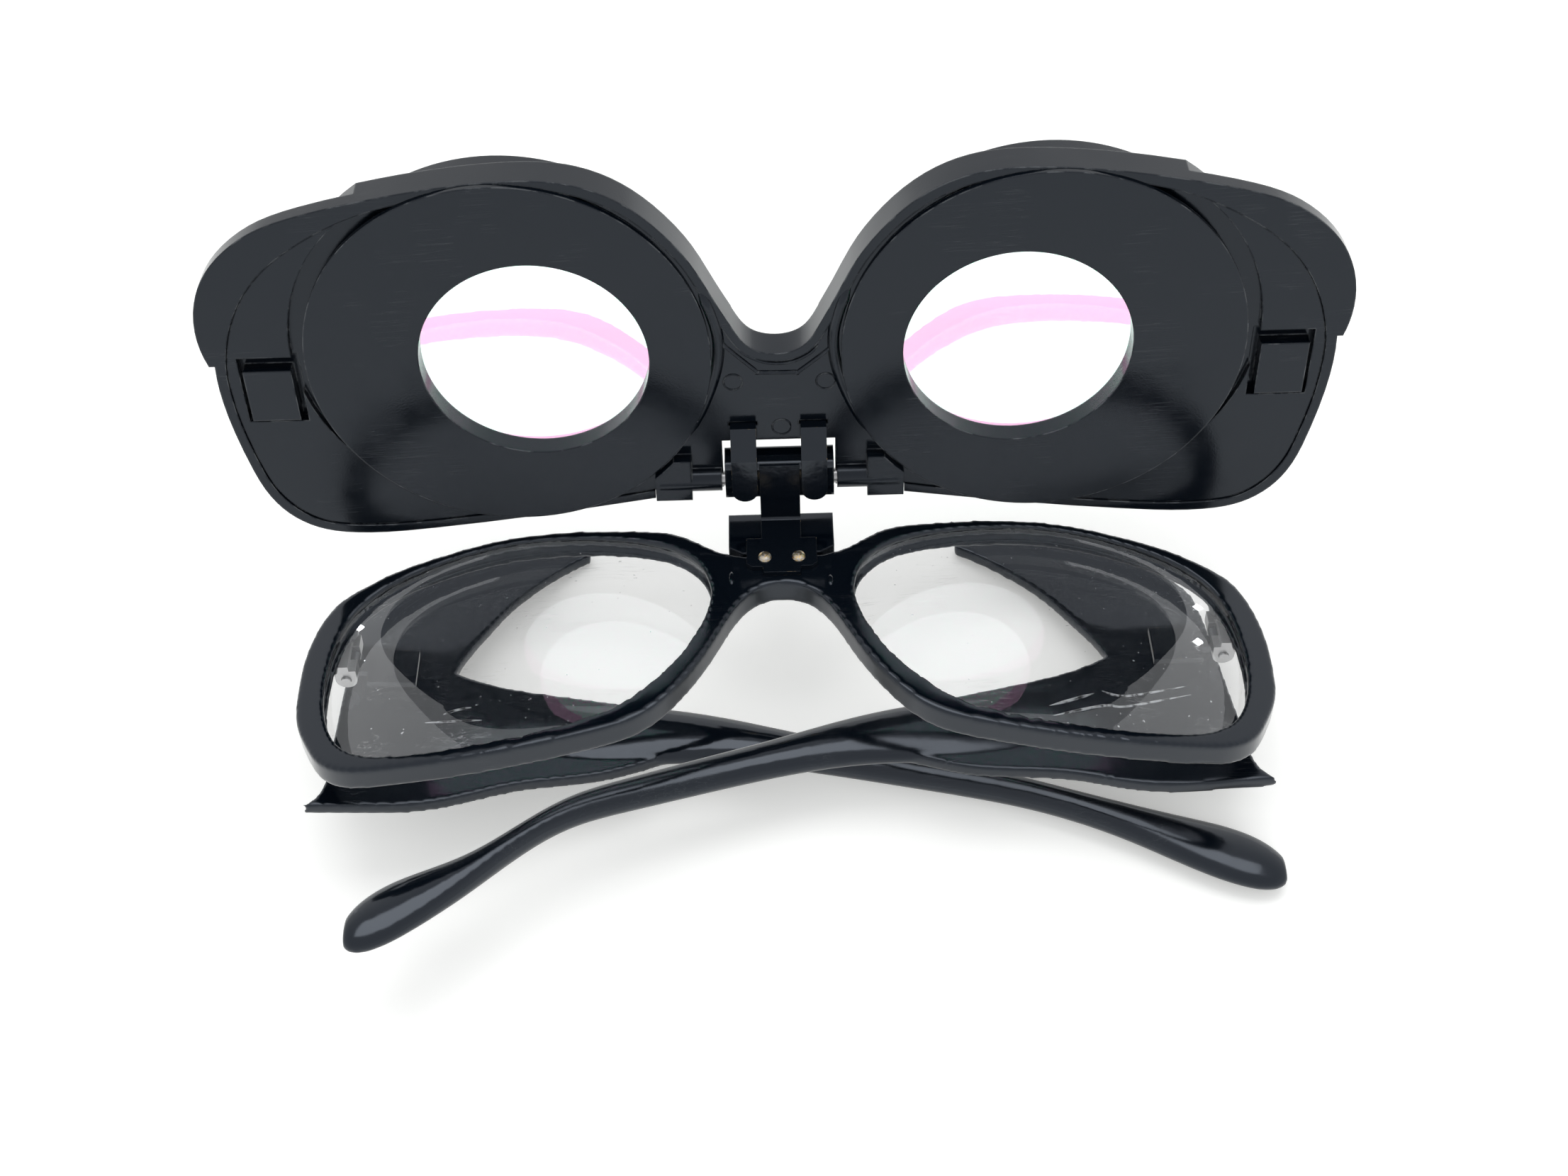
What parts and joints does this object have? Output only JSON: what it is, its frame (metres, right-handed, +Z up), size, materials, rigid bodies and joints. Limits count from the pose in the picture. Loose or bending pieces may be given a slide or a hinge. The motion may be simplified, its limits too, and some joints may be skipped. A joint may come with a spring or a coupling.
{
  "type": "flip-front welding goggles",
  "caption": "Spectacle-frame welding goggles with clear lenses, folding side-shield temples and a lift-up front that carries round filter lenses.",
  "frame": {"origin": "centre of the bounding box's base, on the surface the folded goggles rest on", "axes": "+Z up; +X along the frame's width, to the right in the picture, which is the wearer's left; +Y from the nose gap towards the brow edge, level with the surface. The frame front lies 12 degrees down towards the brow."},
  "size_m": [0.1596, 0.0889, 0.0783],
  "materials": {
    "frame_plastic": "polished black",
    "temple_plastic": "polished black with fine scratches",
    "flip_plastic": "satin black",
    "cam_plastic": "satin black",
    "clear_plastic": "clear hard-coated sheet",
    "filter_glass": "coated glass with a pink cast",
    "cover_glass": "clear",
    "gasket": "plain",
    "black_metal": "glossy black coat on sheet brass, rubbed bright at bends",
    "rivet_brass": "plain, darkened round the edge",
    "steel": "plain"
  },
  "bodies": {
    "front": {"front_frame": "frame_plastic", "clear_lens_left": "clear_plastic", "clear_lens_right": "clear_plastic", "front_hinge_leaf_left": "steel", "front_hinge_leaf_right": "steel", "hinge_screw_left": "steel", "hinge_screw_right": "steel", "hinge_bracket": "black_metal", "rivets": "rivet_brass", "backing_plate": "steel", "bridge_block": "frame_plastic", "hinge_cam": "cam_plastic", "hinge_pin": "steel"},
    "flip": {"flip_back_plate": "flip_plastic", "flip_cover": "flip_plastic", "aperture_disc_left": "flip_plastic", "aperture_disc_right": "flip_plastic", "filter_lens_left": "filter_glass", "filter_lens_right": "filter_glass", "cover_glass_left": "cover_glass", "cover_glass_right": "cover_glass", "lens_ring_left": "flip_plastic", "lens_ring_right": "flip_plastic", "lens_gaskets_left": "gasket", "lens_gaskets_right": "gasket", "spring_clip": "black_metal"},
    "temple_left": {"temple_left": "temple_plastic", "temple_hinge_leaf_left": "steel"},
    "temple_right": {"temple_right": "temple_plastic", "temple_hinge_leaf_right": "steel"}
  },
  "joints": [
    {"name": "flip_hinge", "type": "hinge", "parent": "front", "child": "flip", "pos_m": [-0.00114, 0.02312, 0.02754], "axis": [0.9992, -0.0086, -0.0401], "range_deg": [0, 93]},
    {"name": "temple_left_fold", "type": "hinge", "parent": "front", "child": "temple_left", "pos_m": [-0.06642, 0.00861, 0.01242], "axis": [0, 0.9776, -0.2103], "range_deg": [0, 88]},
    {"name": "temple_right_fold", "type": "hinge", "parent": "front", "child": "temple_right", "pos_m": [0.06247, 0.0075, 0.00724], "axis": [0, -0.9776, 0.2103], "range_deg": [0, 91.5]}
  ],
  "couplings": [
    {"joint": "temple_right_fold", "follows": "temple_left_fold", "ratio": 1.0397}
  ]
}
